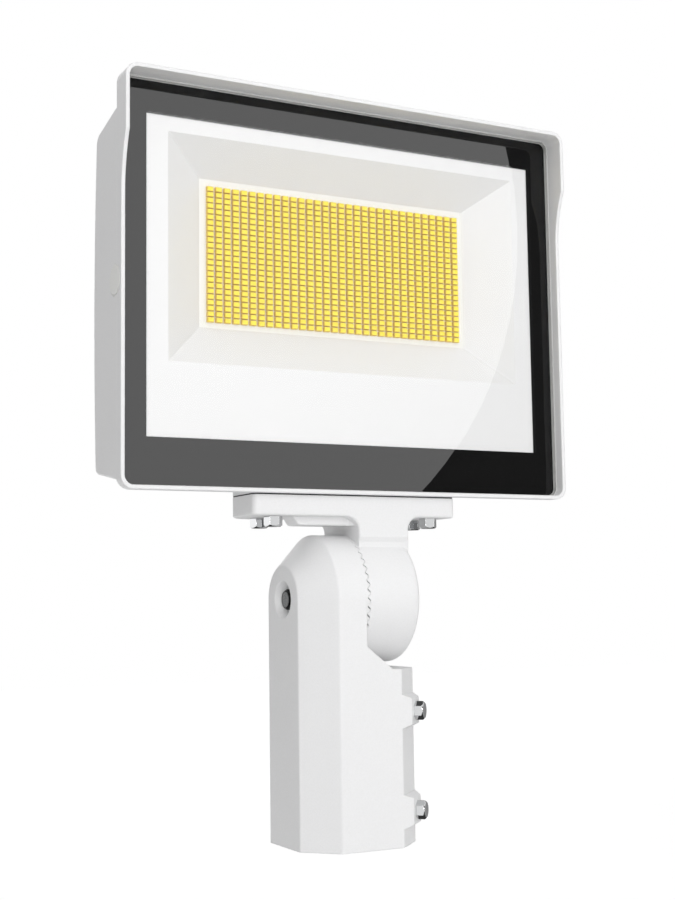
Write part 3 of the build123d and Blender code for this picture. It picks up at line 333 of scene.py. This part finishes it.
# Emitters: small flip chips in straight columns, each under its own tile of yellow phosphor.
# The tile's flat top is lemon yellow; its sides are the same phosphor, painted darker amber as painted shade.
CHIP_COLUMNS = 32
CHIP_ROWS = 24
CHIP_GAP_X = 1.45 * MM
CHIP_GAP_Z = 0.55 * MM
CHIP_EDGE = 0.3 * MM
PHOSPHOR = "F7E72E"
PHOSPHOR_DEEP = "F2DF22"
# Painted shade: these darker amber tints stand for the shade on the tile sides, not for a second material.
PHOSPHOR_SIDE_SHADE = "E0BC3A"
PHOSPHOR_SIDE_SHADE_PALE = "E8C644"
PHOSPHOR_GRAIN = 0.5 * MM
PHOSPHOR_ROUGH = 0.45
CUT_ROUGH = 0.5


def chip_field(low, high, columns, rows, gap_x, gap_z, edge):
    """Rows and columns of square-cut tiles that fill a box, as vertices, faces and top flags.

    A tile is three rings of four corners: its foot on the board, its shoulder and its top, which
    is drawn in by the edge. The tile of column i and row j is moved by i and j pitches.
    """
    pitch = np.array([(high[0] - low[0] + gap_x) / columns, 0, (high[2] - low[2] + gap_z) / rows])
    wide, tall = pitch[0] - gap_x, pitch[2] - gap_z
    ring = np.array([[0, 0], [1, 0], [1, 1], [0, 1]])
    foot = np.stack([ring[:, 0] * wide, np.full(4, high[1]), ring[:, 1] * tall], 1)
    shoulder = foot.copy()
    shoulder[:, 1] = low[1] + edge
    top = np.stack([edge + ring[:, 0] * (wide - 2 * edge), np.full(4, low[1]),
                    edge + ring[:, 1] * (tall - 2 * edge)], 1)
    tile = np.concatenate([foot, shoulder, top])
    corner = np.arange(4)
    after = (corner + 1) % 4
    walls = np.stack([corner, after, after + 4, corner + 4], 1)
    faces = np.concatenate([walls, walls + 4, [[8, 9, 10, 11]], [[3, 2, 1, 0]]])
    column, row = (grid.ravel() for grid in np.meshgrid(np.arange(columns), np.arange(rows)))
    start = np.stack([low[0] + column * pitch[0], np.zeros(column.size), low[2] + row * pitch[2]], 1)
    vertices = (start[:, None] + tile[None]).reshape(-1, 3)
    quads = (np.arange(column.size)[:, None, None] * len(tile) + faces[None]).reshape(-1, 4)
    tops = np.tile(np.arange(len(faces)) == 2 * len(walls), column.size)
    return vertices, quads, tops


phosphor = mottled("yellow_phosphor_tile", PHOSPHOR, PHOSPHOR_DEEP, PHOSPHOR_GRAIN,
                   {"Roughness": PHOSPHOR_ROUGH})
# The tile sides get the darker amber tints, which are painted shade on the same phosphor.
shaded_phosphor_sides = mottled("phosphor_side_painted_shade", PHOSPHOR_SIDE_SHADE, PHOSPHOR_SIDE_SHADE_PALE, PHOSPHOR_GRAIN,
                {"Roughness": CUT_ROUGH})
vertices, quads, tops = chip_field(*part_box("led_strips"), CHIP_COLUMNS, CHIP_ROWS, CHIP_GAP_X, CHIP_GAP_Z,
                                   CHIP_EDGE)
chips = piece("led_chips", vertices, quads, [phosphor, shaded_phosphor_sides], np.where(tops, 0, 1))
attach(chips, "head")
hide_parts("led_strips")


# Driver: a potted supply in a bare aluminium case with a sheet lid, in the bay below the board.
# Case and lid are brushed along their length, so their gloss is streaked.
BARE_METAL = "C3C6C9"
BRUSHING = 0.4 * MM
STREAK = 16 * MM
BRUSHED_ROUGH = (0.28, 0.45)

bare, tree, shader, place = material("bare_brushed_aluminium")
along = add(tree, "ShaderNodeMapping", {"Scale": (1 / STREAK, 1 / BRUSHING, 1 / BRUSHING)}, {"Vector": place})
shader.inputs["Base Color"].default_value = linear(BARE_METAL)
shader.inputs["Metallic"].default_value = 1.0
uneven_blur(tree, shader, grain_of(tree, along.outputs["Vector"], 1.0), *BRUSHED_ROUGH)
dress("driver_case", bare)
dress("driver_lid", bare)
dress("driver_screws", zinc)


# Studio: a pale floor that keeps the light's shadow, a white surround, a large round lamp at the front
# right, softer lamps at the front left, low in front, overhead and behind, and grey cards for the gloss.
# Sharp mirrors see a brighter lamp face and cards of their own brightness.
FLOOR_Z = -0.25
FLOOR_HALF = 6.0
FLOOR_WHITE = "F4F4F4"
FLOOR_ROUGH = 0.9
FLOOR_NEAR = 2.0
FLOOR_FAR = 4.3
FLOOR_GLOW = (1.33, 1.62)
FLOOR_GLOW_SHARE = 0.5
SURROUND = 0.42
LAMP_AIM = (0.0, 0.0, 0.25)
ROUND_LAMP_AT = (0.839, -2.50, 1.171)
ROUND_LAMP_R = 1.005
ROUND_LAMP_RADIANCE = 2.2
ROUND_LAMP_FACE = 3.4
ROUND_LAMP_POINTS = 96
FACE_AHEAD = 0.02
CARD_BLACK = (0.01, 0.01, 0.01, 1)
WHITE = (1, 1, 1, 1)


def lamp(name, place, aim, size, radiance, shape):
    """Area lamp that faces a point; its power gives the stated radiance over its own face."""
    light = bpy.data.lights.new(name, "AREA")
    light.shape = shape
    light.size = size
    face = math.pi * size ** 2 / 4 if shape == "DISK" else size ** 2
    light.energy = radiance * face * math.pi
    made = bpy.data.objects.new(name, light)
    bpy.context.scene.collection.objects.link(made)
    away = np.array(place) - np.array(aim)
    away /= np.linalg.norm(away)
    side = np.cross((0, 0, 1), away)
    side /= np.linalg.norm(side)
    turn = np.eye(4)
    turn[:3, 0], turn[:3, 1], turn[:3, 2], turn[:3, 3] = side, np.cross(away, side), away, place
    made.matrix_world = Matrix(turn.tolist())
    made.visible_camera = False


def background_seen(tree):
    """One for a ray from the camera, from a gloss or through glass, and zero for the rest."""
    path = add(tree, "ShaderNodeLightPath").outputs
    seen = add(tree, "ShaderNodeMath", (), {0: path["Is Camera Ray"], 1: path["Is Glossy Ray"]},
               operation="MAXIMUM")
    return add(tree, "ShaderNodeMath", (), {0: seen.outputs[0], 1: path["Is Transmission Ray"]},
               operation="MAXIMUM").outputs[0]


def show_blend(tree, share, first, second):
    """Shows a material as a blend of two shaders by a share from zero to one."""
    blend = add(tree, "ShaderNodeMixShader", (), {0: share, 1: first, 2: second})
    tree.links.new(blend.outputs["Shader"], tree.nodes["Material Output"].inputs["Surface"])


lamp("round_lamp", ROUND_LAMP_AT, np.array(ROUND_LAMP_AT) * [1, 0, 1], 2 * ROUND_LAMP_R, ROUND_LAMP_RADIANCE,
     "DISK")
lamp_face, tree, shader, place = material("round_lamp_face")
mirrored = add(tree, "ShaderNodeLightPath").outputs["Is Singular Ray"]
bright = add(tree, "ShaderNodeEmission", {"Color": WHITE, "Strength": ROUND_LAMP_FACE})
hidden = add(tree, "ShaderNodeBsdfTransparent")
show_blend(tree, mirrored, hidden.outputs["BSDF"], bright.outputs["Emission"])
tree.nodes.remove(shader)
turn = np.linspace(0, 2 * math.pi, ROUND_LAMP_POINTS, endpoint=False)
circle = np.stack([np.cos(turn), np.zeros(turn.size), np.sin(turn)], 1)
rim = np.array(ROUND_LAMP_AT) + [0, FACE_AHEAD, 0] + ROUND_LAMP_R * circle
face = piece("round_lamp_face", rim, [list(range(turn.size))], [lamp_face])
face.visible_camera = face.visible_diffuse = face.visible_shadow = False
for name, place, size, radiance in (("left_lamp", (-1.75, -2.9, 2.2), 2.4, 1.4),
                                    ("front_lamp", (-1.0, -3.0, 0.1), 0.7, 9.6),
                                    ("top_lamp", (0.0, -0.4, 3.0), 2.0, 1.5),
                                    ("back_lamp", (1.0, 2.6, 1.6), 1.6, 1.6)):
    lamp(name, place, LAMP_AIM, size, radiance, "SQUARE")

world = bpy.data.worlds.new("white_surround")
bpy.context.scene.world = world
world.use_nodes = True
tree = world.node_tree
glow = add(tree, "ShaderNodeMapRange", {"To Min": SURROUND, "To Max": 1.0}, {"Value": background_seen(tree)})
tree.nodes["Background"].inputs["Color"].default_value = WHITE
tree.links.new(glow.outputs["Result"], tree.nodes["Background"].inputs["Strength"])

floor_paint, tree, shader, place = material("pale_floor")
shader.inputs["Base Color"].default_value = linear(FLOOR_WHITE)
shader.inputs["Roughness"].default_value = FLOOR_ROUGH
away = add(tree, "ShaderNodeVectorMath", (), {0: place}, operation="LENGTH")
even = add(tree, "ShaderNodeMapRange", {"From Min": FLOOR_NEAR, "From Max": FLOOR_FAR,
                                        "To Min": FLOOR_GLOW[0], "To Max": FLOOR_GLOW[1]},
           {"Value": away.outputs["Value"]})
bright = add(tree, "ShaderNodeEmission", {"Color": WHITE}, {"Strength": even.outputs["Result"]})
seen = add(tree, "ShaderNodeMath", {1: FLOOR_GLOW_SHARE}, {0: background_seen(tree)}, operation="MULTIPLY")
show_blend(tree, seen.outputs[0], shader.outputs["BSDF"], bright.outputs["Emission"])
corners = np.array([[-1, -1, 0], [1, -1, 0], [1, 1, 0], [-1, 1, 0]]) * FLOOR_HALF + [0, 0, FLOOR_Z]
piece("floor", corners, [[0, 1, 2, 3]], [floor_paint])

for name, glow, mirrored_glow, centre, across, up in (
        ("right_card", 0.2, 0.2, (1.9, -2.7, 0.9), (1.5, 0, 0), (0, 0, 1.4)),
        ("back_left_card", 0.22, 1.35, (-1.5, 1.4, 0.3), (0.9, 0.9, 0), (0, 0, 1.0)),
        ("back_right_card", 0.17, 0.3, (1.2, 1.12, 0.3), (0.72, -0.72, 0), (0, 0, 0.8)),
        ("high_card", 1.0, 0.08, (0.3, 1.5, 2.3), (1.2, 0, 0), (0, 0, 0.85)),
        ("low_card", 0.17, 0.04, (0.0, -0.3, -0.24), (0.9, 0, 0), (0, 0.9, 0))):
    card_grey, tree, shader, place = material(name + "_grey")
    mirrored = add(tree, "ShaderNodeLightPath").outputs["Is Singular Ray"]
    shown = add(tree, "ShaderNodeMapRange", {"To Min": glow, "To Max": mirrored_glow}, {"Value": mirrored})
    shader.inputs["Base Color"].default_value = CARD_BLACK
    shader.inputs["Roughness"].default_value = 1.0
    shader.inputs["Specular IOR Level"].default_value = 0.0
    shader.inputs["Emission Color"].default_value = WHITE
    tree.links.new(shown.outputs["Result"], shader.inputs["Emission Strength"])
    corners = [np.array(centre) + a * np.array(across) + b * np.array(up)
               for a, b in ((-1, -1), (1, -1), (1, 1), (-1, 1))]
    card = piece(name, corners, [[0, 1, 2, 3]], [card_grey])
    card.visible_camera = card.visible_diffuse = card.visible_shadow = False


# Camera: where the photograph was taken from, to the left of the light and at the height of its
# pivot, looking up a little.
CAMERA_AT = (-0.4228, -0.8096, 0.1487)
CAMERA_AZIMUTH = 27.567
CAMERA_ELEVATION = 5.997
CAMERA_ROLL = -0.789
CAMERA_LENS = 57.5
FILM = 36.0
NEAREST = 0.01

az, el, roll = np.radians([CAMERA_AZIMUTH, CAMERA_ELEVATION, CAMERA_ROLL])
ahead = np.array([math.sin(az) * math.cos(el), math.cos(az) * math.cos(el), math.sin(el)])
level = np.array([math.cos(az), -math.sin(az), 0])
upright = np.cross(level, ahead)
turn = np.eye(4)
turn[:3, 0] = math.cos(roll) * level + math.sin(roll) * upright
turn[:3, 1] = -math.sin(roll) * level + math.cos(roll) * upright
turn[:3, 2] = -ahead
turn[:3, 3] = CAMERA_AT
camera = bpy.data.objects.new("camera", bpy.data.cameras.new("camera"))
bpy.context.scene.collection.objects.link(camera)
camera.matrix_world = Matrix(turn.tolist())
camera.data.sensor_fit = "VERTICAL"
camera.data.sensor_height = FILM
camera.data.lens = CAMERA_LENS
camera.data.clip_start = NEAREST
bpy.context.scene.camera = camera
bpy.context.scene.view_settings.view_transform = "Standard"
